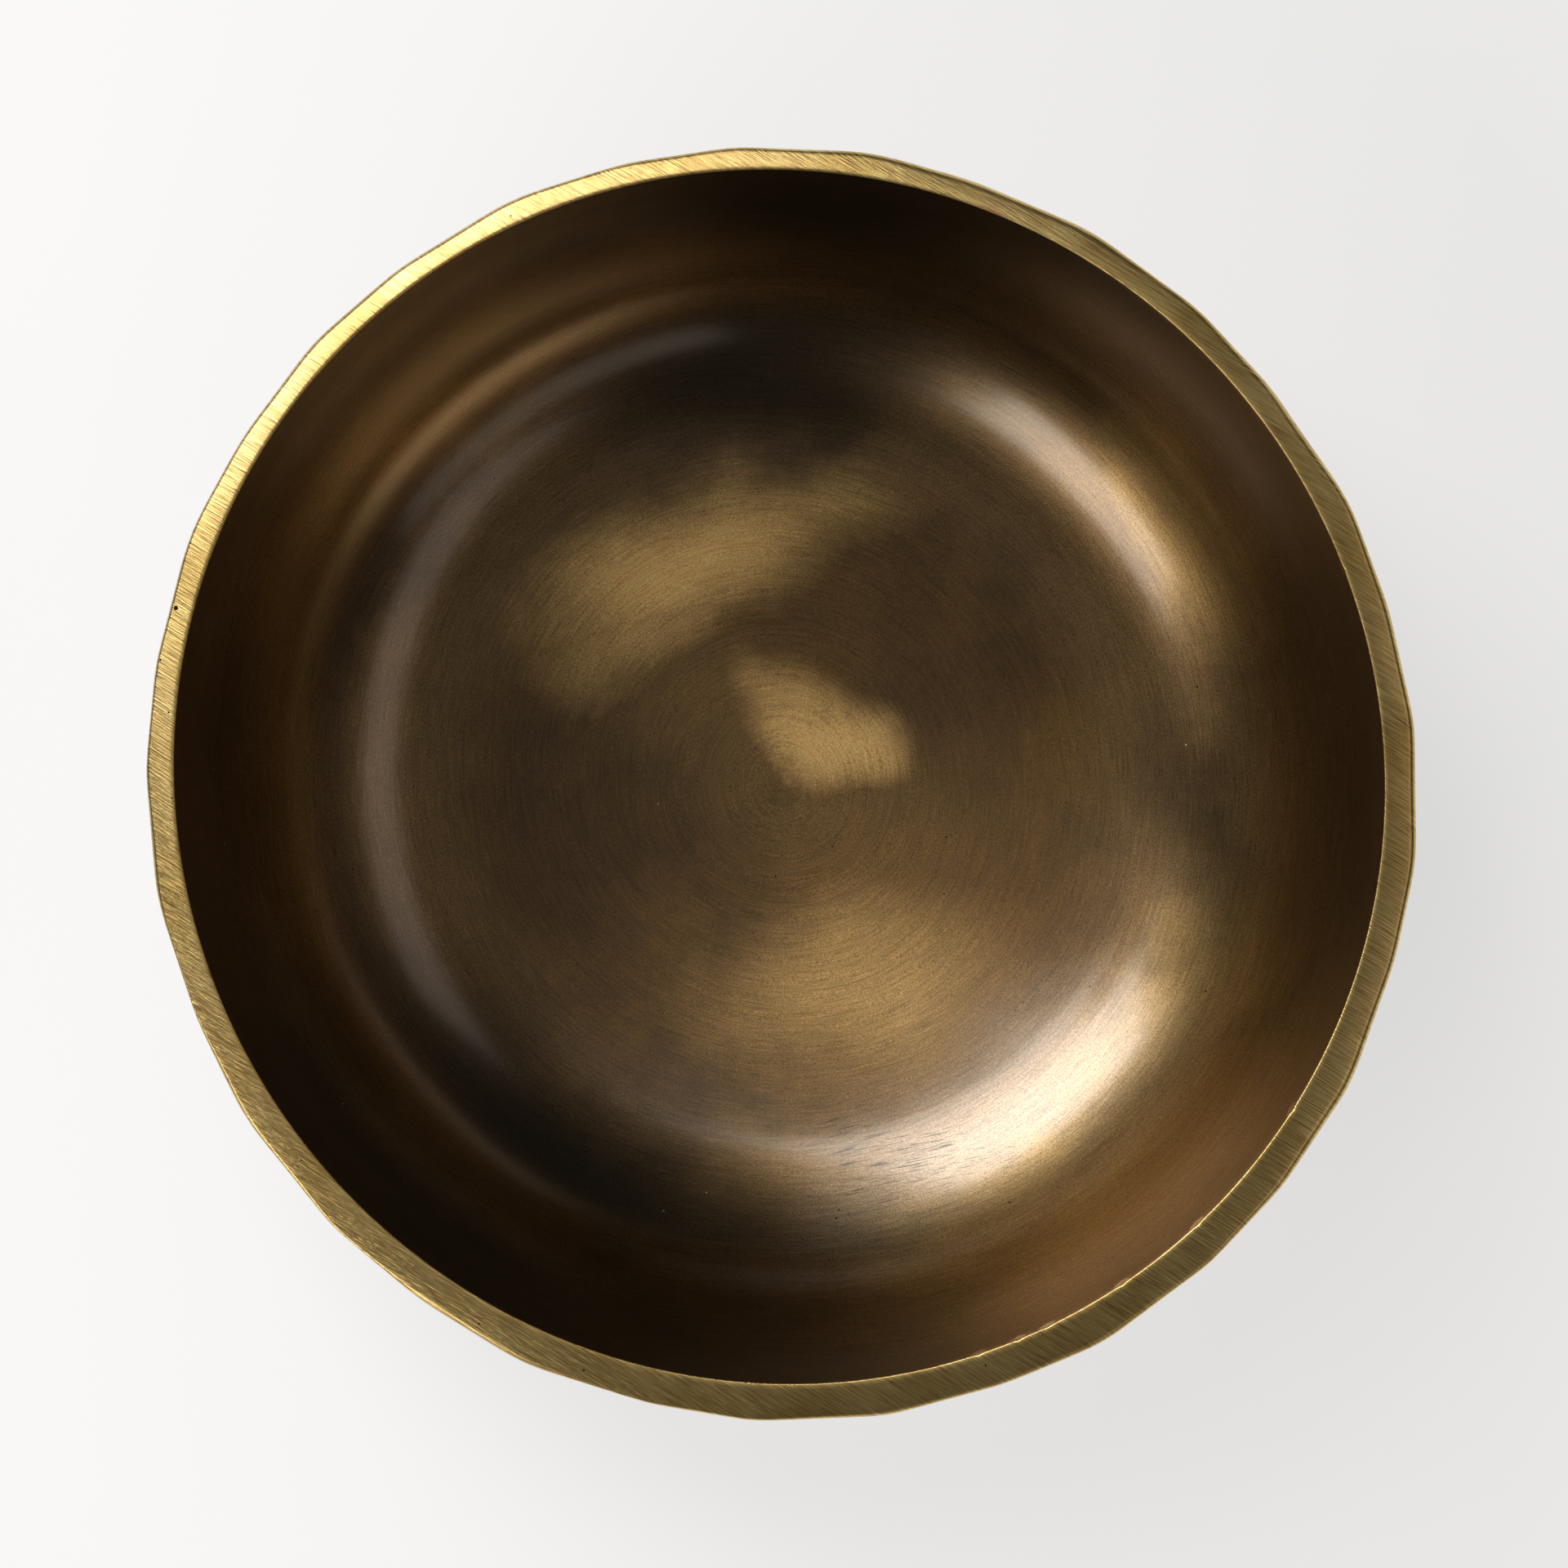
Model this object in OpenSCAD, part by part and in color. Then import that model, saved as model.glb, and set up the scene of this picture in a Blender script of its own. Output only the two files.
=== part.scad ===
// Brass urli bowl: one thick casting with hammered flats outside, a turned foot
// ring brazed under its round bottom, and felt pads under the ring. Millimetres.
// The origin is on the bowl's axis, on the surface that the pads stand on, and
// +Z points up through the mouth.

/* [Bowl] */
// Mean outside diameter at the rim
bowl_d = 254; // [220:1:306]
// Height from the table to the rim
bowl_h = 80; // [66:1:97]
// Mean width of the ground rim
rim_w = 6.6; // [5.5:0.1:8]
// Width of the eased outer edge of the rim
rim_ease = 0.8; // [0.3:0.1:1.5]
// Thickness of the floor and the side
wall_t = 5.2; // [4.3:0.1:6.3]
// Height of the round bottom's lowest point above the table
bottom_h = 8; // [6.5:0.1:9.7]
// How much longer the bowl is than wide, because the casting is a little out of round
out_of_round = 5; // [1:0.1:7]
// Direction of its long axis, anticlockwise from +X
long_axis = 131; // [90:1:179]

/* [Inside curve] */
// Slope of the dished floor where it turns into the knuckle
floor_slope = 8; // [6:0.5:10]
// Radius of the knuckle between floor and side
knuckle_r = 46; // [38:1:56]
// Slope of the side where it leaves the knuckle
side_slope = 60; // [55:1:65]
// Slope of the side at the rim
rim_slope = 84; // [80:1:87]
// Sideways shift of the casting core, which leaves the rim wider on one side
core_shift = 1.6; // [0:0.1:2]
// Direction of that shift, anticlockwise from +X
core_shift_angle = 114; // [0:1:359]

/* [Hammered flats] */
// Width of one flat around the side
flat_w = 23.5; // [19:0.5:29]
// Distance between the rows of flats, measured down the side
flat_row_pitch = 19; // [15:0.5:23]
// Rows of flats from the rim down
flat_rows = 5; // [1:1:5]
// How far the middle of the first row is below the rim
first_row_drop = 6; // [4:0.5:8]
// How deep the middle of a flat is cut below the round side
flat_depth = 0.75; // [0.3:0.05:0.95]
// Unevenness of the hand work, as a share of a flat's width
flat_scatter = 0.16; // [0:0.01:0.3]
// Unevenness of the tilt of the flats, in degrees
flat_tilt = 1.2; // [0:0.1:2]
// How far the flats stay away from the bead around the foot
flat_clear = 2; // [1:0.5:4]

/* [Foot ring] */
// Outside diameter of the foot ring where it stands
foot_d = 122; // [101:1:147]
// Width of the ring's flat underside
foot_land = 13; // [11:0.5:16]
// Width of the ring's neck, where it meets the bowl
foot_neck = 8; // [6.5:0.5:9.5]
// Height of the upright edge below the ring's hollow moulding
foot_edge = 2; // [1.5:0.1:2.5]
// Gap between the ring and the bowl, filled with brazing metal
braze_gap = 0.1; // [0.05:0.05:0.3]
// Width of the bead of brazing metal along each side of the neck
braze_bead = 1.2; // [0.8:0.1:1.6]

/* [Felt pads] */
// Diameter of a pad
pad_d = 9; // [7.5:0.5:11]
// Thickness of a pad
pad_t = 1.5; // [1:0.1:2.5]

/* [Hidden] */
$fn = 180;
arc_steps = 8;
pad_count = 4;
first_pad_angle = 45;
// How far a cutter runs past the face it opens, and the size of a flat's cutter
past = 1;
slab_t = 4;
slab_reach = 0.8*flat_w;

ring_outer = foot_d/2;
ring_inner = ring_outer - foot_land;
ring_neck = ring_inner + foot_neck;

mean_r = bowl_d/2 - out_of_round/4;
mouth_r = mean_r - rim_w;
floor_z = bottom_h + wall_t;

// Run and rise of an arc of radius 1 whose slope goes from a to b
function run(a, b) = sin(b) - sin(a);
function rise(a, b) = cos(a) - cos(b);

// The floor arc and the side arc have to join the knuckle and end at the rim, which
// gives two equations for their two radii
gap_run = mouth_r - knuckle_r*run(floor_slope, side_slope);
gap_rise = bowl_h - floor_z - knuckle_r*rise(floor_slope, side_slope);
det = run(0, floor_slope)*rise(side_slope, rim_slope)
    - run(side_slope, rim_slope)*rise(0, floor_slope);
floor_r = (gap_run*rise(side_slope, rim_slope) - gap_rise*run(side_slope, rim_slope))/det;
side_r = (gap_rise*run(0, floor_slope) - gap_run*rise(0, floor_slope))/det;

// Point of the inside curve where its slope is a, as [radius, height]
function along(p, r, a, b) = [p[0] + r*run(a, b), p[1] + r*rise(a, b)];
floor_end = along([0, floor_z], floor_r, 0, floor_slope);
knuckle_end = along(floor_end, knuckle_r, floor_slope, side_slope);
function inside(a) =
    a <= floor_slope ? along([0, floor_z], floor_r, 0, a)
    : a <= side_slope ? along(floor_end, knuckle_r, floor_slope, a)
    : along(knuckle_end, side_r, side_slope, a);

// The outside is the inside moved out by the wall, which thickens towards the rim
function thickness(a) = wall_t + (rim_w - wall_t)*pow(a/rim_slope, 3);
function outside(a) = inside(a) + thickness(a)*[sin(a), -cos(a)];

function steps(a, b) = [for (i = [1:arc_steps]) a + (b - a)*i/arc_steps];
slopes = concat([0], steps(0, floor_slope), steps(floor_slope, side_slope),
                steps(side_slope, rim_slope));

// Slope at which each row of flats touches the side, stepping down from the rim
function bend_r(a) = a > side_slope ? side_r + wall_t : knuckle_r + wall_t;
function down(a, d) = a - d/bend_r(a)*180/PI;
function row_slope(k) = k == 0 ? down(rim_slope, first_row_drop)
                               : down(row_slope(k - 1), flat_row_pitch);

// Two half turns of a section, moved apart along the long axis and joined by a
// straight stretch
module turn_out_of_round() {
    rotate([0, 0, long_axis]) {
        for (side = [0, 180])
            rotate([0, 0, side])
                translate([out_of_round/2, 0, 0])
                    rotate([0, 0, -90])
                        rotate_extrude(angle = 180)
                            children();
        rotate([90, 0, 90])
            linear_extrude(out_of_round, center = true) {
                children();
                mirror([1, 0]) children();
            }
    }
}

// The round outside, with its rim edge eased at 45 degrees
module outer_body() {
    turn_out_of_round()
        difference() {
            polygon(concat([for (a = slopes) outside(a)], [[mean_r, bowl_h], [0, bowl_h]]));
            translate([mean_r, bowl_h]) rotate(45) square(rim_ease*sqrt(2), center = true);
        }
}

module core() {
    translate(core_shift*[cos(core_shift_angle), sin(core_shift_angle), 0])
        turn_out_of_round()
            polygon(concat([for (a = slopes) inside(a)],
                           [[mouth_r, bowl_h + past], [0, bowl_h + past]]));
}

// Unevenness of flat i in row k, from -1 to 1: steps of a turn that never repeat
function shift_of(i, k) = sin(137.5*i + 77*k);
function tilt_of(i, k) = sin(222.5*i + 31*k);

// Every other slab of one row, each of which cuts one flat: two passes do a row. The
// slabs end before they would cut into the seat of the foot ring.
module flats(pass) {
    k = floor(pass/2);
    a = row_slope(k);
    p = outside(a);
    n = round(2*PI*p[0]/flat_w);
    foot_reach = (p[0] - ring_neck - braze_bead - flat_clear)/cos(a);
    down_reach = min(slab_reach, foot_reach);
    for (i = [pass % 2:2:n - 1]) {
        turn = (i + (k % 2)/2 + flat_scatter*shift_of(i, k))*360/n;
        rotate([0, 0, long_axis])
            translate([sign(cos(turn))*out_of_round/2, 0, 0])
                rotate([0, 0, turn])
                    translate([p[0], 0, p[1]])
                        rotate([0, 90 - a + flat_tilt*tilt_of(i, k), 0])
                            translate([-flat_depth, -slab_reach, -down_reach])
                                cube([slab_t, 2*slab_reach, slab_reach + down_reach]);
    }
}

module round_bowl() {
    difference() {
        outer_body();
        core();
    }
}

// The bowl after so many passes of the hammer
module hammered(passes) {
    if (passes == 0)
        round_bowl();
    else
        difference() {
            hammered(passes - 1);
            flats(passes - 1);
        }
}

module bowl() {
    color("#8a6a35") hammered(2*flat_rows);
}

// Turned ring with a hollow moulding between its neck and its upright edge
module foot_ring() {
    hollow_r = ring_outer - ring_neck;
    hollow_z = pad_t + foot_edge + hollow_r;
    color("#9a7840")
        difference() {
            rotate_extrude()
                difference() {
                    translate([ring_inner, pad_t]) square([foot_land, bowl_h/2]);
                    translate([ring_outer, hollow_z]) circle(hollow_r);
                    translate([ring_neck, hollow_z]) square([hollow_r + past, bowl_h]);
                }
            translate([0, 0, -braze_gap]) outer_body();
        }
}

// Height of the round bottom at radius r
under_r = floor_r + wall_t;
function under(r) = bottom_h + under_r - sqrt(under_r*under_r - r*r);

// Brazing metal: the film between ring and bowl, and a sloping bead on each side
module braze_seam() {
    color("#b89a5a")
        difference() {
            rotate_extrude()
                polygon([[ring_inner - braze_bead, under(ring_inner - braze_bead)],
                         [ring_inner, under(ring_inner) - braze_bead],
                         [ring_neck, under(ring_neck) - braze_bead],
                         [ring_neck + braze_bead, under(ring_neck + braze_bead)],
                         [ring_neck + braze_bead, bowl_h/2],
                         [ring_inner - braze_bead, bowl_h/2]]);
            outer_body();
            foot_ring();
        }
}

module felt_pad(i) {
    color("#2b211a")
        rotate([0, 0, first_pad_angle + 360/pad_count*(i - 1)])
            translate([(foot_d - foot_land)/2, 0, 0])
                cylinder(d = pad_d, h = pad_t);
}

bowl();
foot_ring();
braze_seam();
felt_pad(1);  // felt_pad_1
felt_pad(2);  // felt_pad_2
felt_pad(3);  // felt_pad_3
felt_pad(4);  // felt_pad_4
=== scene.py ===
import bpy
import numpy as np
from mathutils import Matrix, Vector


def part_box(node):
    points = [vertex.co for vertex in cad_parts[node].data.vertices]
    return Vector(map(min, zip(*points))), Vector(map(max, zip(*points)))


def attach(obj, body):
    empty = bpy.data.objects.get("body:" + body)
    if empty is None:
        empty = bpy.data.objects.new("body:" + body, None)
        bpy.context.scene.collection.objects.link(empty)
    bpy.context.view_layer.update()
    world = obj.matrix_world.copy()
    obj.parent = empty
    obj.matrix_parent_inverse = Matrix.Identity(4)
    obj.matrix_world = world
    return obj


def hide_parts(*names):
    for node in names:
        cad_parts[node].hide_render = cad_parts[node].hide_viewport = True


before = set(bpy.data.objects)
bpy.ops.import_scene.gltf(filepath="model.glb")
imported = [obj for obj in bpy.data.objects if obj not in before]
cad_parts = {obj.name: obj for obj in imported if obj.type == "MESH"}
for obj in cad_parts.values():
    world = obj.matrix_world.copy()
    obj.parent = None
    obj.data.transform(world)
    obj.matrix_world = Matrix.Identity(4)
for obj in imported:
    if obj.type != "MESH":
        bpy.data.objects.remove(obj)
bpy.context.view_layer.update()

# ---------------------------------------------------------------------------------------
# The bowl: one heavy sand casting in yellow brass, with its core a little off centre. Its
# inside is darkened, brushed round and lacquered, its rim is ground bare on a belt, and its
# outside is dressed in rows of hammered flats, darkened and rubbed back on the ridges.
# ---------------------------------------------------------------------------------------

# Sizes are in millimetres and slopes in degrees from level.
MM = 0.001
rim_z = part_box("bowl")[1][2]/MM
bottom_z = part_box("bowl")[0][2]/MM
bowl_d = 254.0
rim_w = 6.6
wall_t = 5.2
out_of_round = 5.0
long_axis = np.radians(131)
core_shift = 1.6
core_shift_angle = np.radians(114)
fade_r = 60
floor_slope, side_slope, rim_slope = 8.0, 60.0, 84.0
knuckle_r = 46.0
flat_w = 23.5
flat_row_pitch = 19.0
flat_rows = 5
first_row_drop = 6.0
flat_depth = 0.75
flat_scatter = 0.16
flat_tilt = 1.2
flat_dish = 0.26
dish_r = 0.6*flat_w
lighter_blows = 0.22
ridge_w = 0.6
ridge_blend = 0.2
rim_blend = 0.36
ease_w = 1.25
arris_w = 0.3
rim_fall = 0.45

mean_r = bowl_d/2 - out_of_round/4
mouth_r = mean_r - rim_w
floor_z = bottom_z + wall_t


def run(a, b):
    """Sideways length of an arc of radius 1 whose slope goes from a to b degrees."""
    return np.sin(np.radians(b)) - np.sin(np.radians(a))


def rise(a, b):
    """Height of an arc of radius 1 whose slope goes from a to b degrees."""
    return np.cos(np.radians(a)) - np.cos(np.radians(b))


# The floor arc and the side arc join the knuckle and end at the rim: two equations for
# their two radii.
floor_r, side_r = np.linalg.solve(
    [[run(0, floor_slope), run(side_slope, rim_slope)],
     [rise(0, floor_slope), rise(side_slope, rim_slope)]],
    [mouth_r - knuckle_r*run(floor_slope, side_slope),
     rim_z - floor_z - knuckle_r*rise(floor_slope, side_slope)])


def inside(slope):
    """Radius and height of the inside where it has this slope: a floor arc, a knuckle arc
    and a side arc, each starting where the last one ends."""
    on_floor = np.minimum(slope, floor_slope)
    on_knuckle = np.clip(slope, floor_slope, side_slope)
    on_side = np.maximum(slope, side_slope)
    r = (floor_r*run(0, on_floor) + knuckle_r*run(floor_slope, on_knuckle)
         + side_r*run(side_slope, on_side))
    z = (floor_r*rise(0, on_floor) + knuckle_r*rise(floor_slope, on_knuckle)
         + side_r*rise(side_slope, on_side))
    return r, floor_z + z


def outside(slope):
    """Radius and height of the round outside: the inside moved out square to itself by the
    wall, which thickens with the cube of the slope."""
    r, z = inside(slope)
    wall = wall_t + (rim_w - wall_t)*(slope/rim_slope)**3
    tilt = np.radians(slope)
    return r + wall*np.sin(tilt), z - wall*np.cos(tilt)


def smooth_step(low, high, x):
    """0 at low, 1 at high and a smooth cubic between them."""
    t = np.clip((x - low)/(high - low), 0, 1)
    return t*t*(3 - 2*t)


def stretch(r, turn):
    """How far the casting is drawn out at radius r and a turn: one plus the cosine of twice
    the turn from the long axis, fading to 0 at the middle."""
    return out_of_round/4*(1 + np.cos(2*(turn - long_axis)))*smooth_step(0, fade_r, r)


def row_slopes():
    """Slope at which each row of flats touches the side, stepping down from the rim."""
    slopes, slope, drop = [], rim_slope, first_row_drop
    for _ in range(flat_rows):
        bend = (side_r if slope > side_slope else knuckle_r) + wall_t
        slope -= np.degrees(drop/bend)
        slopes.append(slope)
        drop = flat_row_pitch
    return slopes


def flat_planes():
    """Every flat as its middle and the way it faces: rows of equal steps around the side,
    each shifted and tilted a little by a turn that never repeats. The hammer fell lighter
    on the side of the long axis."""
    middles, faces = [], []
    for k, slope in enumerate(row_slopes()):
        r, z = outside(slope)
        count = int(round(2*np.pi*r/flat_w))
        i = np.arange(count)
        shift = flat_scatter*np.sin(np.radians(137.5*i + 77*k))
        turn = (i + (k % 2)/2 + shift)*2*np.pi/count + long_axis
        tilt = np.radians(slope - flat_tilt*np.sin(np.radians(222.5*i + 31*k)))
        face = np.stack([np.sin(tilt)*np.cos(turn), np.sin(tilt)*np.sin(turn),
                         -np.cos(tilt)], axis=1)
        out = r + stretch(r, turn)
        blow = 1 - lighter_blows*np.cos(turn - long_axis)
        depth = (flat_depth - flat_dish/3)*blow[:, None]
        touch = np.stack([out*np.cos(turn), out*np.sin(turn), np.full(count, z)], axis=1)
        middles.append(touch - depth*face)
        faces.append(face)
    return np.concatenate(middles), np.concatenate(faces)


def hammer(points, normals):
    """The round outside cut back along its normals by every flat, a plane with a shallow
    dish. The cut is a soft maximum: the blend times the logarithm of one plus the sum of
    exp(depth/blend). It rounds the ridges, most near the rim, where the wheel went over
    them. Also gives how near each point is to a ridge, where two cuts are as deep, from
    0 to 1."""
    near_rim = smooth_step(rim_z - 14, rim_z - 2, points[..., 2])
    blend = ridge_blend + (rim_blend - ridge_blend)*near_rim
    least_facing = 0.6
    no_cut = -9.0
    total = np.ones(points.shape[:-1])
    deepest = np.full(points.shape[:-1], no_cut)
    second = np.full(points.shape[:-1], no_cut)
    for middle, face in zip(*flat_planes()):
        gap = points - middle
        above = gap @ face
        facing = normals @ face
        dish = np.clip(1 - (np.sum(gap*gap, axis=-1) - above**2)/dish_r**2, 0, 1)
        cut = (above + flat_dish*dish)/np.maximum(facing, least_facing)
        depth = np.where(facing > least_facing, cut, no_cut)
        total += np.exp(depth/blend)
        second = np.maximum(second, np.minimum(deepest, depth))
        deepest = np.maximum(deepest, depth)
    close = 1 - np.clip((deepest - second)/ridge_w, 0, 1)
    ridge = close*smooth_step(-ridge_w, 0, deepest)
    return points - normals*(blend*np.log(total))[..., None], ridge


def swell(x, y, seed, shortest, longest, count):
    """A gentle swell of about -1 to 1: sine waves of many lengths and headings, added and
    divided by the square root of their count."""
    dice = np.random.default_rng(seed)
    total = np.zeros_like(x)
    for _ in range(count):
        heading, phase = dice.uniform(0, 2*np.pi, 2)
        length = dice.uniform(shortest, longest)
        total += np.sin(2*np.pi*(x*np.cos(heading) + y*np.sin(heading))/length + phase)
    return total/np.sqrt(count)


def sweep(r, z, turn):
    """Points at radius r and height z around the axis: rows of a section by columns."""
    r, z, turn = np.broadcast_arrays(r, z, turn)
    return np.stack([r*np.cos(turn), r*np.sin(turn), z], axis=-1)


def closed_piece(name, grid, poles=None, bands=0):
    """A closed mesh from a grid of points in millimetres: quads between neighbouring rows
    and columns. The columns close on themselves. So do the rows, unless two poles are
    given, which fans of triangles reach. bands gives each row of faces its material
    slot."""
    count, across = grid.shape[:2]
    here = np.arange(count*across).reshape(count, across)
    up = np.roll(here, -1, axis=0)
    if poles is not None:
        here, up = here[:-1], up[:-1]
    quads = np.stack([here, np.roll(here, -1, axis=1), np.roll(up, -1, axis=1), up],
                     axis=-1)
    faces, points = quads.reshape(-1, 4).tolist(), grid.reshape(-1, 3)
    slots = np.repeat(np.broadcast_to(bands, len(here)), across)
    if poles is not None:
        first, last = np.arange(across), np.arange(across) + (count - 1)*across
        low = np.stack([np.roll(first, -1), first, np.full(across, len(points))], axis=-1)
        high = np.stack([last, np.roll(last, -1), np.full(across, len(points) + 1)],
                        axis=-1)
        faces += low.tolist() + high.tolist()
        points = np.concatenate([points, poles])
        slots = np.concatenate([slots, slots[:across], slots[-across:]])
    mesh = bpy.data.meshes.new(name)
    mesh.from_pydata((points*MM).tolist(), [], faces)
    mesh.polygons.foreach_set("material_index", slots.astype(np.int32))
    mesh.polygons.foreach_set("use_smooth", np.ones(len(faces), dtype=bool))
    piece = bpy.data.objects.new(name, mesh)
    bpy.context.scene.collection.objects.link(piece)
    return piece


def point_values(piece, name, values):
    """Store one number for each point of a piece, for its material."""
    held = piece.data.attributes.new(name, "FLOAT", "POINT")
    held.data.foreach_set("value", np.asarray(values, dtype=np.float32))


columns = 720
turn = np.arange(columns)*2*np.pi/columns

# Outside, from the bottom up to the rim.
slopes_up = np.concatenate([np.linspace(0.6, floor_slope, 8),
                            np.linspace(floor_slope, side_slope, 26)[1:],
                            np.linspace(side_slope, rim_slope, 38)[1:]])
r, z = outside(slopes_up)
tilt = np.radians(np.append(slopes_up, rim_slope))[:, None]
r, z = np.append(r, mean_r)[:, None], np.append(z, rim_z)[:, None]
facing_out = sweep(np.sin(tilt), -np.cos(tilt), turn)
outer_rows, ridge = hammer(sweep(r + stretch(r, turn), z, turn), facing_out)

# The skin between the blows is a little uneven too, never proud of the casting.
skin_depth, skin_slant = 0.05, 0.7
across, along, up = (outer_rows[..., k] for k in range(3))
skin = swell(across + skin_slant*up, along - skin_slant*up,
             seed=12, shortest=7, longest=26, count=9)
uneven = skin_depth*(skin - 2)
uneven *= 1 - smooth_step(rim_z - 8, rim_z - 1, up)
outer_rows += np.minimum(uneven, 0)[..., None]*facing_out

# Rim: the eased outer edge, wider on one side, where the belt pressed harder.
rim_out = np.hypot(outer_rows[-1, :, 0], outer_rows[-1, :, 1])
rim_x, rim_y = mean_r*np.cos(turn), mean_r*np.sin(turn)
pressed = 0.4*np.cos(turn - np.radians(25))
waver = 0.2*swell(rim_x, rim_y, seed=5, shortest=25, longest=90, count=6)
ease = ease_w*(1 + pressed + waver)
outer_rows, ridge = outer_rows[:-2], ridge[:-2]
t = np.linspace(0, np.pi/2, 6)[:, None]
edge_z = rim_z - rim_fall
ease_rows = sweep(rim_out - ease + ease*np.cos(t), edge_z - ease + ease*np.sin(t), turn)

# The ground land, which falls outwards, and the small round of the inner edge, which has
# a few nicks.
shift = core_shift*np.array([np.cos(core_shift_angle), np.sin(core_shift_angle), 0])
mouth = sweep(mouth_r + stretch(mouth_r, turn), rim_z, turn) + shift
mouth_out = np.hypot(mouth[:, 0], mouth[:, 1])
mouth_turn = np.arctan2(mouth[:, 1], mouth[:, 0])
nicks = np.radians([20, 187, 199, 289, 293, 296, 304, 313, 327])
nick_depth, nick_w = 0.3, np.radians(0.35)
arris = arris_w + nick_depth*np.exp(-((turn - nicks[:, None])/nick_w)**2).sum(axis=0)
t = np.linspace(0, 1, 7)[1:-1, None]
land_r = (rim_out - ease)*(1 - t) + (mouth_out + arris)*t
land_z = edge_z + rim_fall*(1 - (1 - t)**1.5)
land_rows = sweep(land_r, land_z, turn*(1 - t) + t*np.unwrap(mouth_turn))
t = np.linspace(0, np.pi/2, 4)[:, None]
arris_rows = sweep(mouth_out + arris*(1 - np.sin(t)), rim_z - arris*(1 - np.cos(t)),
                   mouth_turn)

# Inside, from the rim down, with the gentle unevenness that the scraping left.
slopes_down = np.concatenate([np.linspace(rim_slope - 0.3, side_slope, 14),
                              np.linspace(side_slope, floor_slope, 20)[1:],
                              np.linspace(floor_slope, 0.5, 20)[1:]])
r, z = (v[:, None] for v in inside(slopes_down))
inner_rows = sweep(r + stretch(r, turn), z, turn)
inner_rows = inner_rows + shift*smooth_step(0, fade_r, r)[..., None]
wave_depth = 0.14
wave = wave_depth*swell(inner_rows[..., 0], inner_rows[..., 1],
                        seed=3, shortest=45, longest=120, count=9)
wave *= smooth_step(85, 50, slopes_down)[:, None]
tilt = np.radians(slopes_down)[:, None]
inner_rows -= wave[..., None]*sweep(np.sin(tilt), -np.cos(tilt), turn)

grid = np.concatenate([outer_rows, ease_rows, land_rows, arris_rows, inner_rows])
OUTSIDE, RIM, INSIDE = 0, 1, 2
bands = np.full(len(grid) - 1, OUTSIDE)
bands[len(outer_rows):] = RIM
bands[-len(inner_rows):] = INSIDE
poles = [[0, 0, bottom_z], [0, 0, inner_rows[-1, :, 2].mean()]]
bowl = closed_piece("bowl_casting", grid, poles, bands)

# The materials read how far along the section a point is and how near a ridge.
steps = np.linalg.norm(np.diff(grid[:, 0], axis=0), axis=1)
section = np.concatenate([[0], np.cumsum(steps)])
section_mm = np.concatenate([np.repeat(section, columns), [0, section[-1]]])
point_values(bowl, "section_mm", section_mm)
unhammered = np.zeros((len(grid) - len(ridge))*columns + len(poles))
point_values(bowl, "ridge", np.concatenate([ridge.ravel(), unhammered]))


def linear(hex_colour):
    """An sRGB hex colour as linear red, green, blue and alpha."""
    parts = [int(hex_colour[i:i + 2], 16)/255 for i in (1, 3, 5)]
    return [c/12.92 if c <= 0.04045 else ((c + 0.055)/1.055)**2.4 for c in parts] + [1.0]


def add(tree, kind, inputs=None, stops=(), **settings):
    """Add one node. inputs are its sockets by name or number, linked where the value is
    another node's socket and set where it is plain. settings are its properties, and stops
    are a colour ramp's places and colours."""
    made = tree.nodes.new("ShaderNode" + kind)
    for name, value in settings.items():
        setattr(made, name, value)
    for name, value in (inputs or {}).items():
        if isinstance(value, bpy.types.NodeSocket):
            tree.links.new(value, made.inputs[name])
        else:
            made.inputs[name].default_value = value
    for k, (place, colour) in enumerate(stops):
        stop = (made.color_ramp.elements[k] if k < 2
                else made.color_ramp.elements.new(place))
        stop.position, stop.color = place, linear(colour)
    return made


def new_material(name):
    """A material with an empty node tree."""
    made = bpy.data.materials.new(name)
    made.use_nodes = True
    made.node_tree.nodes.clear()
    return made, made.node_tree


# Places where the darkening was rubbed thin, which also carry painted reflections of the
# soft boxes; places of painted highlight, greyed pale where the brightest highlight falls;
# and places of painted shade, where the metal would reflect the dark room: x, y, half
# length and half width in millimetres, the way it lies in degrees, and how strong it is.
rubbed_and_painted_sheen_places = [(8, 11, 17, 10, -35, 1.0), (-19, 48, 31, 13, 24, 1.0),
                 (-25, 35, 22, 10, 28, 0.55), (3, 62, 22, 9, 0, 0.5),
                 (13, -42, 31, 18, 14, 0.36), (49, -85, 30, 10, 28, 0.8),
                 (72, -82, 54, 19, 41, 0.75), (86, -50, 34, 12, 58, 0.65),
                 (85, 49, 28, 9, 120, 0.45), (103, -10, 14, 36, 0, 0.25),
                 (1, 1, 38, 21, -35, 0.12)]
painted_highlight_places = [(44.5, -71, 44, 16, 32, 0.85)]
painted_shade_places = [(-5, 86, 70, 24, 0, 0.9), (-46, -74, 66, 26, -38, 0.9),
               (12, 114, 85, 22, -6, 0.85), (-57, 94, 50, 19, 32, 0.9),
               (-85, 50, 40, 12, 60, 0.7), (-88, -76, 90, 26, -49, 0.8),
               (-58, -8, 20, 44, 0, 0.3), (84, -2, 12, 26, 5, 0.5)]


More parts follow.
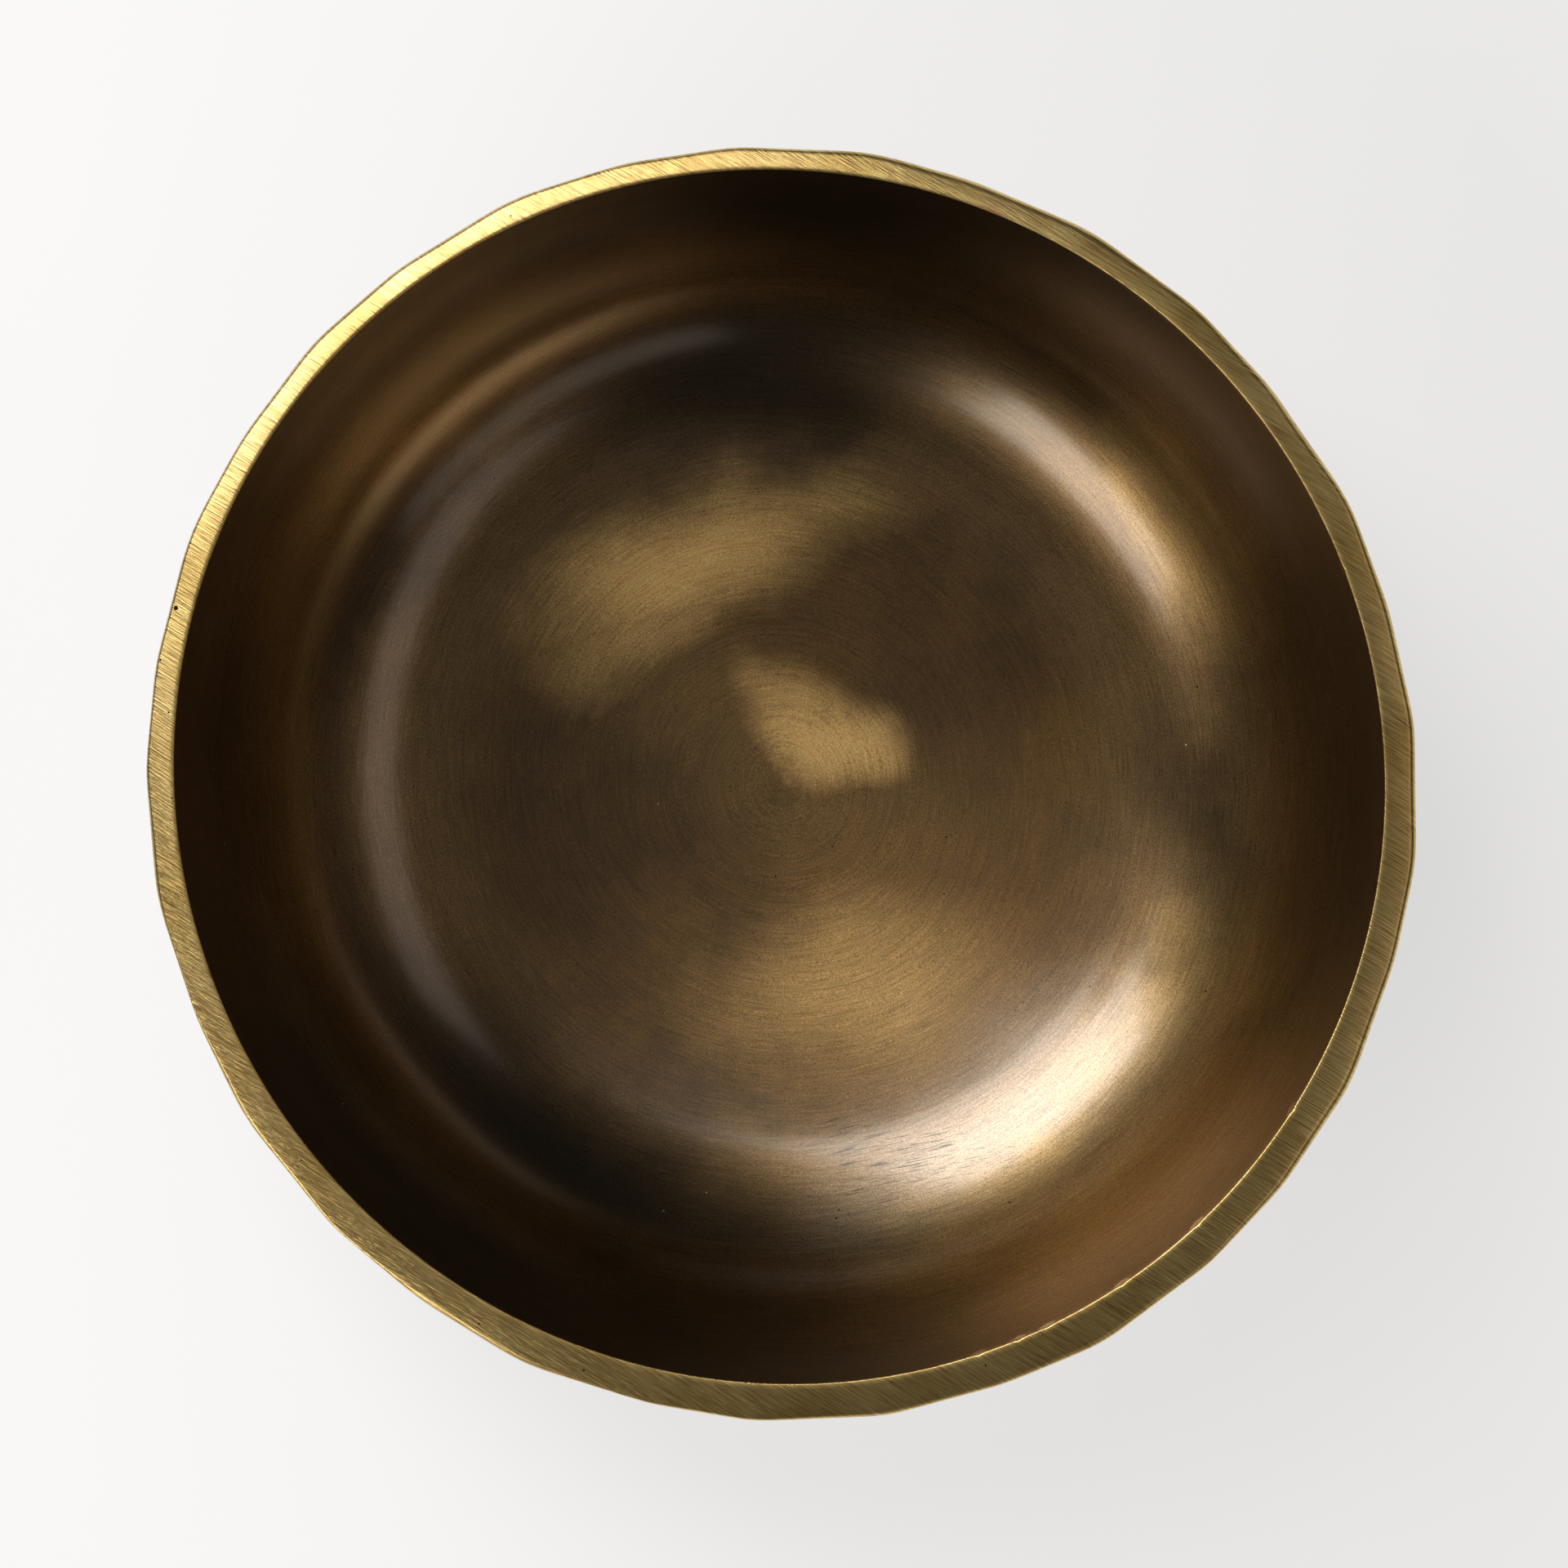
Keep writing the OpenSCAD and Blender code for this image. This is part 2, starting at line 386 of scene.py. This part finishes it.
def antiqued_brass():
    """Cast brass, darkened with a chemical, brushed round and lacquered: a deep brown metal
    that glows gold where it is rubbed or faces a light, under a clear satin coat. Its
    colour also holds painted reflections, a painted highlight and painted shade in places,
    and a side painted lighter than the floor."""
    material, tree = new_material("antiqued_lacquered_brass")
    place = add(tree, "TexCoord").outputs["Object"]
    path = add(tree, "Attribute", attribute_name="section_mm").outputs["Fac"]
    # Brush lines 0.1 mm apart and 9 mm long, drawn 0.24 mm apart so that they show: 110
    # to the metre sideways and 4.2 to the millimetre along the section.
    flat = add(tree, "VectorMath", {0: place, 1: (110, 110, 0)}, operation="MULTIPLY")
    across = add(tree, "Math", {0: path, 1: 4.2}, operation="MULTIPLY")
    lift = add(tree, "CombineXYZ", {"Z": across.outputs[0]})
    lines_at = add(tree, "VectorMath", {0: flat.outputs[0], 1: lift.outputs[0]})
    lines = add(tree, "TexNoise", {"Vector": lines_at.outputs[0], "Scale": 1.0,
                                   "Detail": 4.0, "Roughness": 0.7})
    # Patina clouds, 5 to 35 mm across. They also push the edges of the places about.
    clouds = add(tree, "TexNoise", {"Vector": place, "Scale": 30.0, "Detail": 5.0,
                                    "Roughness": 0.55})
    wander = add(tree, "VectorMath", {0: clouds.outputs["Color"], 1: (0.5, 0.5, 0.5)},
                 operation="SUBTRACT")
    strayed = add(tree, "VectorMath", {0: wander.outputs[0], 1: (0.027, 0.027, 0.0),
                                       2: place}, operation="MULTIPLY_ADD")
    # Each kind of place fades out at this many times its half length and half width.
    shown = []
    for places, fades in ((rubbed_and_painted_sheen_places, 1.6), (painted_highlight_places, 1.5), (painted_shade_places, 1.3)):
        total = None
        for x, y, length, width, lie, amount in places:
            about = add(tree, "Mapping", {
                "Vector": strayed.outputs[0], "Location": (x*MM, y*MM, 0),
                "Rotation": (0, 0, np.radians(lie)),
                "Scale": (length*MM, width*MM, 1000)}, vector_type="TEXTURE")
            away = add(tree, "VectorMath", {0: about.outputs[0]}, operation="LENGTH")
            here = add(tree, "MapRange", {
                "Value": away.outputs["Value"], "From Min": fades, "From Max": 0.1,
                "To Max": amount}, interpolation_type="SMOOTHSTEP")
            total = here if total is None else add(
                tree, "Math", {0: total.outputs[0], 1: here.outputs[0]},
                operation="MAXIMUM")
        shown.append(total.outputs[0])
    deep = add(tree, "ValToRGB", {"Fac": clouds.outputs["Fac"]},
               [(0.32, "#453115"), (0.68, "#654a22")])
    warm = add(tree, "ValToRGB", {"Fac": clouds.outputs["Fac"]},
               [(0.32, "#6b5432"), (0.68, "#816742")])
    # The side is lighter than the floor: painted light on the side and painted shade on the
    # floor, for how each faces the soft boxes, over the cloudy tone of the darkening.
    level = add(tree, "VectorMath", {0: place, 1: (1, 1, 0)}, operation="MULTIPLY")
    radius = add(tree, "VectorMath", {0: level.outputs[0]}, operation="LENGTH")
    onto_side = add(tree, "MapRange", {"Value": radius.outputs["Value"], "From Min": 0.055,
                                       "From Max": 0.085}, interpolation_type="SMOOTHSTEP")
    shade = add(tree, "MixRGB", {"Fac": onto_side.outputs[0],
                                 "Color1": deep.outputs["Color"],
                                 "Color2": warm.outputs["Color"]})
    # Wear and painted reflection: the rubbed places turn gold, partly bare brass and partly
    # the soft boxes' reflections painted into the colour.
    bare_and_painted_sheen = add(tree, "MixRGB", {"Fac": shown[0], "Color1": shade.outputs["Color"],
                                "Color2": linear("#e8be76")})
    # Painted highlight: a pale grey-brown where the brightest highlight falls, so that it
    # reads washed out.
    with_painted_highlight = add(tree, "MixRGB", {"Fac": shown[1], "Color1": bare_and_painted_sheen.outputs["Color"],
                                 "Color2": linear("#8e7d68")})
    # Painted shade: near black brown where the metal would reflect the dark room.
    with_painted_shade = add(tree, "MixRGB", {"Fac": shown[2], "Color1": with_painted_highlight.outputs["Color"],
                                  "Color2": linear("#2e2110")})
    bold = add(tree, "MapRange", {"Value": lines.outputs["Fac"], "From Min": 0.3,
                                  "From Max": 0.7})
    streak = add(tree, "MixRGB", {"Fac": 0.35, "Color1": with_painted_shade.outputs["Color"],
                                  "Color2": bold.outputs[0]}, blend_type="OVERLAY")
    # The grain of the cast metal under the brushing, 0.3 mm across.
    grain = add(tree, "TexNoise", {"Vector": place, "Scale": 3300.0, "Detail": 2.0})
    coarse = add(tree, "MapRange", {"Value": grain.outputs["Fac"], "From Min": 0.3,
                                    "From Max": 0.7})
    grained = add(tree, "MixRGB", {"Fac": 0.4, "Color1": streak.outputs["Color"],
                                   "Color2": coarse.outputs[0]}, blend_type="OVERLAY")
    # Casting pits and bright specks, 0.4 mm across, in some of the cells of 6 and 11 mm.
    marked = grained
    for scale, size, share, colour in ((170.0, 0.035, 0.6, "#1a120a"),
                                       (90.0, 0.016, 0.5, "#e6dcc0")):
        cells = add(tree, "TexVoronoi", {"Vector": place, "Scale": scale})
        dot = add(tree, "Math", {0: cells.outputs["Distance"], 1: size},
                  operation="LESS_THAN")
        chance = add(tree, "SeparateXYZ", {0: cells.outputs["Color"]})
        chosen = add(tree, "Math", {0: chance.outputs["X"], 1: share},
                     operation="GREATER_THAN")
        both = add(tree, "Math", {0: dot.outputs[0], 1: chosen.outputs[0]},
                   operation="MULTIPLY")
        marked = add(tree, "MixRGB", {"Fac": both.outputs[0],
                                      "Color1": marked.outputs["Color"],
                                      "Color2": linear(colour)})
    # Short straight scratches that the scraping left, 7 mm long and drawn 0.3 mm wide so
    # that they show. They are thickest in one place at the edge of the floor.
    slanted = add(tree, "Mapping", {"Vector": place, "Rotation": (0, 0, np.radians(12)),
                                    "Scale": (1/150, 1/3400, 1)}, vector_type="TEXTURE")
    cuts = add(tree, "TexNoise", {"Vector": slanted.outputs[0], "Scale": 1.0})
    where = add(tree, "Mapping", {"Vector": strayed.outputs[0],
                                  "Location": (26*MM, -76*MM, 0),
                                  "Scale": (32*MM, 12*MM, 1000)}, vector_type="TEXTURE")
    near = add(tree, "VectorMath", {0: where.outputs[0]}, operation="LENGTH")
    few = add(tree, "MapRange", {"Value": near.outputs["Value"], "From Min": 0.4,
                                 "From Max": 1.2, "To Min": 0.57, "To Max": 0.76})
    past_few = add(tree, "Math", {0: cuts.outputs["Fac"], 1: few.outputs[0]},
                   operation="SUBTRACT")
    cut = add(tree, "MapRange", {"Value": past_few.outputs[0], "From Max": 0.04,
                                 "To Max": 0.8})
    scratched = add(tree, "MixRGB", {"Fac": cut.outputs[0],
                                     "Color1": marked.outputs["Color"],
                                     "Color2": linear("#2a1d10")})
    bump = add(tree, "Bump", {"Strength": 0.2, "Distance": 0.0001,
                              "Height": lines.outputs["Fac"]})
    shader = add(tree, "BsdfPrincipled", {
        "Base Color": scratched.outputs["Color"], "Metallic": 1.0, "Roughness": 0.34,
        "Coat Weight": 1.0, "Coat Roughness": 0.18, "Coat IOR": 1.6,
        "Normal": bump.outputs[0]})
    add(tree, "OutputMaterial", {"Surface": shader.outputs[0]})
    return material


def ground_brass():
    """Bare brass ground flat on a belt: pale gold, with fine straight strokes that all lie
    one way and a few pits of the casting."""
    material, tree = new_material("belt_ground_brass")
    place = add(tree, "TexCoord").outputs["Object"]
    # Belt strokes 0.1 mm wide and 7 mm long, drawn 0.3 mm wide so that they show.
    turned = add(tree, "Mapping", {"Vector": place, "Rotation": (0, 0, np.radians(-32)),
                                   "Scale": (1/140, 1/3100, 1)}, vector_type="TEXTURE")
    strokes = add(tree, "TexNoise", {"Vector": turned.outputs[0], "Scale": 1.0,
                                     "Detail": 3.0, "Roughness": 0.6})
    bold = add(tree, "MapRange", {"Value": strokes.outputs["Fac"], "From Min": 0.3,
                                  "From Max": 0.7})
    clouds = add(tree, "TexNoise", {"Vector": place, "Scale": 60.0, "Detail": 4.0})
    shade = add(tree, "ValToRGB", {"Fac": clouds.outputs["Fac"]},
                [(0.35, "#c0a363"), (0.65, "#d2b678")])
    streak = add(tree, "MixRGB", {"Fac": 0.45, "Color1": shade.outputs["Color"],
                                  "Color2": bold.outputs[0]}, blend_type="OVERLAY")
    # Pinholes of the casting that the grinding opened, 0.4 mm across, and one of 1.2 mm.
    cells = add(tree, "TexVoronoi", {"Vector": place, "Scale": 200.0})
    hole = add(tree, "Math", {0: cells.outputs["Distance"], 1: 0.04}, operation="LESS_THAN")
    big_hole_at, big_hole_r = (-0.1206, 0.035, 0.08), 0.0006
    big = add(tree, "VectorMath", {0: place, 1: big_hole_at}, operation="DISTANCE")
    big_hole = add(tree, "Math", {0: big.outputs["Value"], 1: big_hole_r},
                   operation="LESS_THAN")
    holes = add(tree, "Math", {0: hole.outputs[0], 1: big_hole.outputs[0]},
                operation="MAXIMUM")
    holed = add(tree, "MixRGB", {"Fac": holes.outputs[0], "Color1": streak.outputs["Color"],
                                 "Color2": linear("#2c1f10")})
    bump = add(tree, "Bump", {"Strength": 0.75, "Distance": 0.0001,
                              "Height": strokes.outputs["Fac"]})
    shader = add(tree, "BsdfPrincipled", {
        "Base Color": holed.outputs["Color"], "Metallic": 1.0, "Roughness": 0.3,
        "Normal": bump.outputs[0]})
    add(tree, "OutputMaterial", {"Surface": shader.outputs[0]})
    return material


def hammered_brass():
    """Hammered brass, darkened and rubbed back: brown in the flats, with painted shade down
    by the foot, and with the brass showing unevenly on the ridges and in the streaks the
    wheel left."""
    material, tree = new_material("hammered_antiqued_brass")
    place = add(tree, "TexCoord").outputs["Object"]
    path = add(tree, "Attribute", attribute_name="section_mm").outputs["Fac"]
    clouds = add(tree, "TexNoise", {"Vector": place, "Scale": 38.0, "Detail": 7.0,
                                    "Roughness": 0.62})
    shade = add(tree, "ValToRGB", {"Fac": clouds.outputs["Fac"]},
                [(0.3, "#54401f"), (0.7, "#8c6d3c")])
    # Rubbed places on the ridges, broken up by patches 6 to 12 mm across.
    patches = add(tree, "TexNoise", {"Vector": place, "Scale": 110.0, "Detail": 4.0})
    broken = add(tree, "MapRange", {"Value": patches.outputs["Fac"], "From Min": 0.38,
                                    "From Max": 0.62})
    ridges = add(tree, "Attribute", attribute_name="ridge").outputs["Fac"]
    worn = add(tree, "MapRange", {"Value": ridges, "From Min": 0.2, "To Max": 0.24},
               interpolation_type="SMOOTHERSTEP")
    share = add(tree, "Math", {0: worn.outputs[0], 1: broken.outputs[0]},
                operation="MULTIPLY")
    rubbed = add(tree, "MixRGB", {"Fac": share.outputs[0], "Color1": shade.outputs["Color"],
                                  "Color2": linear("#c4a260")})
    # Wheel streaks along the side, 0.5 mm apart and 25 mm long.
    flat = add(tree, "VectorMath", {0: place, 1: (40, 40, 0)}, operation="MULTIPLY")
    across = add(tree, "Math", {0: path, 1: 2.0}, operation="MULTIPLY")
    lift = add(tree, "CombineXYZ", {"Z": across.outputs[0]})
    streaks_at = add(tree, "VectorMath", {0: flat.outputs[0], 1: lift.outputs[0]})
    streaks = add(tree, "TexNoise", {"Vector": streaks_at.outputs[0], "Scale": 1.0,
                                     "Detail": 4.0, "Roughness": 0.65})
    bold = add(tree, "MapRange", {"Value": streaks.outputs["Fac"], "From Min": 0.3,
                                  "From Max": 0.7})
    streaked = add(tree, "MixRGB", {"Fac": 0.3, "Color1": rubbed.outputs["Color"],
                                    "Color2": bold.outputs[0]}, blend_type="OVERLAY")
    # Painted shade: darker low down, round the foot, where the bowl turns under.
    height = add(tree, "SeparateXYZ", {0: place}).outputs["Z"]
    low = add(tree, "MapRange", {"Value": height, "From Min": 0.03, "From Max": 0.008,
                                 "To Max": 0.55}, interpolation_type="SMOOTHSTEP")
    shown = add(tree, "MixRGB", {"Fac": low.outputs[0], "Color1": streaked.outputs["Color"],
                                 "Color2": linear("#35271a")})
    grain = add(tree, "TexNoise", {"Vector": place, "Scale": 900.0, "Detail": 3.0})
    bump = add(tree, "Bump", {"Strength": 0.25, "Distance": 0.0002,
                              "Height": grain.outputs["Fac"]})
    shader = add(tree, "BsdfPrincipled", {
        "Base Color": shown.outputs["Color"], "Metallic": 1.0, "Roughness": 0.3,
        "Coat Weight": 0.6, "Coat Roughness": 0.2, "Normal": bump.outputs[0]})
    add(tree, "OutputMaterial", {"Surface": shader.outputs[0]})
    return material


for finish in (hammered_brass(), ground_brass(), antiqued_brass()):
    bowl.data.materials.append(finish)
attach(bowl, "root")
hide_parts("bowl")

# ---------------------------------------------------------------------------------------
# The foot ring: a ring of brass turned on a lathe, with a hollow moulding between its neck
# and its upright edge, brazed under the bowl. It lifts the round bottom off the table.
# ---------------------------------------------------------------------------------------

foot_d, foot_land, foot_neck, foot_edge = 122.0, 13.0, 8.0, 2.0
pad_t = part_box("foot_ring")[0][2]/MM
braze_gap = 0.1
ring_outer = foot_d/2
ring_inner = ring_outer - foot_land
ring_neck = ring_inner + foot_neck
hollow_r = ring_outer - ring_neck
under_r = floor_r + wall_t


def under(r, turn):
    """Height of the bowl's bottom at radius r: the arc under the floor, out of round."""
    still = r - stretch(r, turn)
    return bottom_z + under_r - np.sqrt(under_r**2 - still**2)


ring_columns = 360
ring_turn = np.arange(ring_columns)*2*np.pi/ring_columns


def lathe_path(corners, rounding):
    """Points down a turned section: each corner becomes three, one cut back by the rounding
    on either side and one halfway between the corner and the middle of those two."""
    corners = np.asarray(corners, dtype=float)
    before = corners - np.roll(corners, 1, axis=0)
    after = np.roll(corners, -1, axis=0) - corners
    before /= np.linalg.norm(before, axis=1)[:, None]
    after /= np.linalg.norm(after, axis=1)[:, None]
    start = corners - before*rounding
    end = corners + after*rounding
    middle = (start + end)/4 + corners/2
    return np.stack([start, middle, end], axis=1).reshape(-1, 2)


# Bottom and outer edge with eased corners, then the hollow, then the seat under the bowl.
edge_ease = 0.25
hollow = np.linspace(-np.pi/2, -np.pi, 12)
hollow_z = pad_t + foot_edge + hollow_r
low = [(ring_inner, pad_t), (ring_outer, pad_t), (ring_outer, pad_t + foot_edge)]
eased = lathe_path(low + [(ring_inner, hollow_z)], edge_ease)[:3*len(low)]
path_r = np.concatenate([eased[:, 0], ring_outer + hollow_r*np.cos(hollow[1:])])
path_z = np.concatenate([eased[:, 1], hollow_z + hollow_r*np.sin(hollow[1:])])
ring_rows = sweep(path_r[:, None], path_z[:, None], ring_turn)
top_r = np.linspace(ring_neck, ring_inner, 9)[:, None]
top_rows = sweep(top_r, under(top_r, ring_turn) - braze_gap, ring_turn)
foot = closed_piece("turned_foot_ring", np.concatenate([ring_rows, top_rows]))


def turned_brass():
    """Brass turned on a lathe, darkened and rubbed: satin gold-brown with fine rings."""
    material, tree = new_material("turned_antiqued_brass")
    place = add(tree, "TexCoord").outputs["Object"]
    # Tool marks about 0.25 mm apart, along the height and the radius.
    parts = add(tree, "SeparateXYZ", {0: place})
    squared = add(tree, "VectorMath", {0: place, 1: (1, 1, 0)}, operation="MULTIPLY")
    radius = add(tree, "VectorMath", {0: squared.outputs[0]}, operation="LENGTH")
    marks_at = add(tree, "CombineXYZ", {"X": radius.outputs["Value"],
                                        "Z": parts.outputs["Z"]})
    marks = add(tree, "TexNoise", {"Vector": marks_at.outputs[0], "Scale": 4000.0,
                                   "Detail": 2.0})
    clouds = add(tree, "TexNoise", {"Vector": place, "Scale": 60.0, "Detail": 5.0})
    shade = add(tree, "ValToRGB", {"Fac": clouds.outputs["Fac"]},
                [(0.35, "#7a5c30"), (0.65, "#a5834a")])
    bump = add(tree, "Bump", {"Strength": 0.25, "Distance": 0.0001,
                              "Height": marks.outputs["Fac"]})
    shader = add(tree, "BsdfPrincipled", {
        "Base Color": shade.outputs["Color"], "Metallic": 1.0, "Roughness": 0.33,
        "Coat Weight": 0.6, "Coat Roughness": 0.2, "Normal": bump.outputs[0]})
    add(tree, "OutputMaterial", {"Surface": shader.outputs[0]})
    return material


foot.data.materials.append(turned_brass())
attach(foot, "root")
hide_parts("foot_ring")

# ---------------------------------------------------------------------------------------
# The braze: brass filler that was melted between the ring and the bowl. It is a thin film
# under the ring's seat and a small hollow bead along each side, a little uneven by hand.
# ---------------------------------------------------------------------------------------

braze_bead = 1.2
film_gap = 0.005
neck_x, neck_y = ring_neck*np.cos(ring_turn), ring_neck*np.sin(ring_turn)
flow = 0.12*swell(neck_x, neck_y, seed=9, shortest=6, longest=30, count=8)
reach = braze_bead*(0.85 + flow)
bend = np.linspace(0, np.pi/2, 6)[:, None]


def bead(wall_r, side):
    """A hollow quarter round from the bowl's bottom to the ring's wall. side is 1 outside
    the ring and -1 inside it."""
    r = wall_r + side*reach*(1 - np.sin(bend))
    z = under(wall_r + side*reach, ring_turn) - reach*(1 - np.cos(bend))
    z = np.minimum(z, under(r, ring_turn))
    return sweep(r, z, ring_turn)


seat_r = np.linspace(ring_neck, ring_inner, 5)[:, None]
film_low = sweep(seat_r, under(seat_r, ring_turn) - braze_gap, ring_turn)
film_high = sweep(seat_r[::-1], under(seat_r[::-1], ring_turn) - film_gap, ring_turn)
seam_rows = np.concatenate([bead(ring_neck, 1), film_low, bead(ring_inner, -1)[::-1],
                            film_high])
seam = closed_piece("braze_bead", seam_rows[::-1])


def braze_metal():
    """Yellow brazing alloy, left as it flowed: brighter than the brass and rippled."""
    material, tree = new_material("flowed_braze")
    place = add(tree, "TexCoord").outputs["Object"]
    ripples = add(tree, "TexNoise", {"Vector": place, "Scale": 350.0, "Detail": 3.0})
    shade = add(tree, "ValToRGB", {"Fac": ripples.outputs["Fac"]},
                [(0.35, "#a3854a"), (0.7, "#cdae6a")])
    bump = add(tree, "Bump", {"Strength": 0.5, "Distance": 0.0003,
                              "Height": ripples.outputs["Fac"]})
    shader = add(tree, "BsdfPrincipled", {
        "Base Color": shade.outputs["Color"], "Metallic": 1.0, "Roughness": 0.3,
        "Normal": bump.outputs[0]})
    add(tree, "OutputMaterial", {"Surface": shader.outputs[0]})
    return material


seam.data.materials.append(braze_metal())
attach(seam, "root")
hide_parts("braze_seam")

# ---------------------------------------------------------------------------------------
# The pads: four discs of pressed wool felt, stuck under the foot ring so that the bowl
# doesn't mark the table. They are punched from sheet, so only their edges are soft.
# ---------------------------------------------------------------------------------------

pad_d = 9.0
edge_soft = 0.45
fray_depth = 0.06


def felt_disc(name, middle):
    """A disc with a soft edge: as a lean goes from -90 to 90 degrees, the radius follows
    its cosine and the height the square root of its sine. The edge frays in and out."""
    around = np.arange(72)*2*np.pi/72
    lean = np.linspace(-np.pi/2, np.pi/2, 13)[:, None]
    r = pad_d/2 - edge_soft*(1 - np.cos(lean))
    z = pad_t/2 + (pad_t/2)*np.sign(np.sin(lean))*np.abs(np.sin(lean))**0.5
    fray = fray_depth*np.cos(lean)*np.sin(7*around + 3*np.sin(5*around) + middle[0])
    rows = sweep(r - fray_depth + fray, z, around) + np.array([middle[0], middle[1], 0])
    ends = [[middle[0], middle[1], 0], [middle[0], middle[1], pad_t]]
    return closed_piece(name, rows, ends)


def wool_felt():
    """Dark brown pressed wool felt: matt, with short crossed fibres 0.4 mm apart."""
    material, tree = new_material("pressed_wool_felt")
    place = add(tree, "TexCoord").outputs["Object"]
    fibres = add(tree, "TexNoise", {"Vector": place, "Scale": 2600.0, "Detail": 4.0,
                                    "Roughness": 0.7, "Distortion": 1.5})
    shade = add(tree, "ValToRGB", {"Fac": fibres.outputs["Fac"]},
                [(0.3, "#1f1712"), (0.7, "#4a3a2d")])
    bump = add(tree, "Bump", {"Strength": 0.6, "Distance": 0.0002,
                              "Height": fibres.outputs["Fac"]})
    shader = add(tree, "BsdfPrincipled", {
        "Base Color": shade.outputs["Color"], "Roughness": 0.95, "Sheen Weight": 0.3,
        "Sheen Roughness": 0.5, "Normal": bump.outputs[0]})
    add(tree, "OutputMaterial", {"Surface": shader.outputs[0]})
    return material


felt = wool_felt()
for k in range(1, 5):
    low_corner, high_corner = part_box(f"felt_pad_{k}")
    pad = felt_disc(f"felt_disc_{k}", [(low_corner[0] + high_corner[0])/2/MM,
                                       (low_corner[1] + high_corner[1])/2/MM])
    pad.data.materials.append(felt)
    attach(pad, "root")
    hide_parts(f"felt_pad_{k}")

# ---------------------------------------------------------------------------------------
# The studio: a sheet of lit white acrylic that the bowl stands on, soft boxes round it and
# over it, a dim grey room, and the camera straight above the bowl.
# ---------------------------------------------------------------------------------------

sheet_r, sheet_sides = 6, 96
sheet_turn = np.linspace(0, 2*np.pi, sheet_sides + 1)[:-1]
edge = np.stack([sheet_r*np.cos(sheet_turn), sheet_r*np.sin(sheet_turn),
                 np.zeros(sheet_sides)], axis=1)
sheet = bpy.data.meshes.new("studio_floor")
sheet.from_pydata(edge.tolist(), [], [list(range(sheet_sides))])
studio_floor = bpy.data.objects.new("studio_floor", sheet)
bpy.context.scene.collection.objects.link(studio_floor)
acrylic, tree = new_material("lit_white_acrylic")
place = add(tree, "TexCoord").outputs["Object"]
sideways = add(tree, "SeparateXYZ", {0: place}).outputs["X"]
# Painted light: the sheet's glow is stronger on the -x side and fades towards +x, the
# fall-off of the key light painted into it.
painted_light_falloff = add(tree, "MapRange", {"Value": sideways, "From Min": -0.15, "From Max": 0.15,
                                "To Min": 0.74, "To Max": 0.65})
shader = add(tree, "BsdfPrincipled", {
    "Base Color": linear("#8c8c8c"), "Roughness": 0.9,
    "Emission Color": linear("#ffffff"), "Emission Strength": painted_light_falloff.outputs[0]})
add(tree, "OutputMaterial", {"Surface": shader.outputs[0]})
sheet.materials.append(acrylic)


box_distance = 2.0


def soft_box(name, azimuth, tilt, width, height, radiance, tint):
    """A soft box of a size in metres that faces the bowl from an azimuth, at a tilt off
    straight overhead. Its power is its radiance times its area times pi."""
    lamp = bpy.data.lights.new(name, "AREA")
    lamp.shape = "RECTANGLE"
    lamp.size, lamp.size_y = width, height
    lamp.color = linear(tint)[:3]
    lamp.energy = radiance*width*height*np.pi
    made = bpy.data.objects.new(name, lamp)
    bpy.context.scene.collection.objects.link(made)
    turned, lean = np.radians(azimuth), np.radians(tilt)
    way = Vector((np.cos(turned)*np.sin(lean), np.sin(turned)*np.sin(lean), np.cos(lean)))
    made.location = way*box_distance + Vector((0, 0, 0.05))
    made.rotation_euler = way.to_track_quat("Z", "Y").to_euler()
    made.visible_camera = False


soft_box("key_box", 129, 43, 1.0, 1.1, 5.8, "#fffdfb")
soft_box("near_key_box", 117, 20, 0.62, 0.52, 5.2, "#fffaf6")
soft_box("low_left_box", 223, 52, 0.95, 0.75, 4.8, "#fff8f0")
soft_box("right_box", 353, 35, 2.2, 0.6, 0.7, "#fff4ee")
soft_box("low_right_box", 300, 58, 1.6, 0.4, 0.6, "#fff0e0")
soft_box("top_box", 0, 0, 0.7, 0.7, 0.1, "#fff6e6")

world = bpy.data.worlds.new("studio")
bpy.context.scene.world = world
world.use_nodes = True
tree = world.node_tree
tree.nodes.clear()
way = add(tree, "TexCoord").outputs["Generated"]
height = add(tree, "SeparateXYZ", {0: way}).outputs["Z"]
sky = add(tree, "ValToRGB", {"Fac": height}, [(0.05, "#a0a0a0"), (0.22, "#383838")])
seen = add(tree, "LightPath").outputs["Is Camera Ray"]
mixed = add(tree, "MixRGB", {"Fac": seen, "Color1": sky.outputs["Color"],
                             "Color2": linear("#f4f4f4")})
light = add(tree, "Background", {"Color": mixed.outputs[0]})
add(tree, "OutputWorld", {"Surface": light.outputs[0]})

scene = bpy.context.scene
scene.view_settings.view_transform = "Standard"
camera_height = 1.25
view_width = 0.3115
sensor_width = 36
camera_aside = 0.0003
camera = bpy.data.cameras.new("overhead_camera")
camera.sensor_width = sensor_width
camera.lens = sensor_width*camera_height/view_width
camera.clip_end = 50
eye = bpy.data.objects.new("overhead_camera", camera)
scene.collection.objects.link(eye)
eye.location = (camera_aside, 0, rim_z*MM + camera_height)
scene.camera = eye
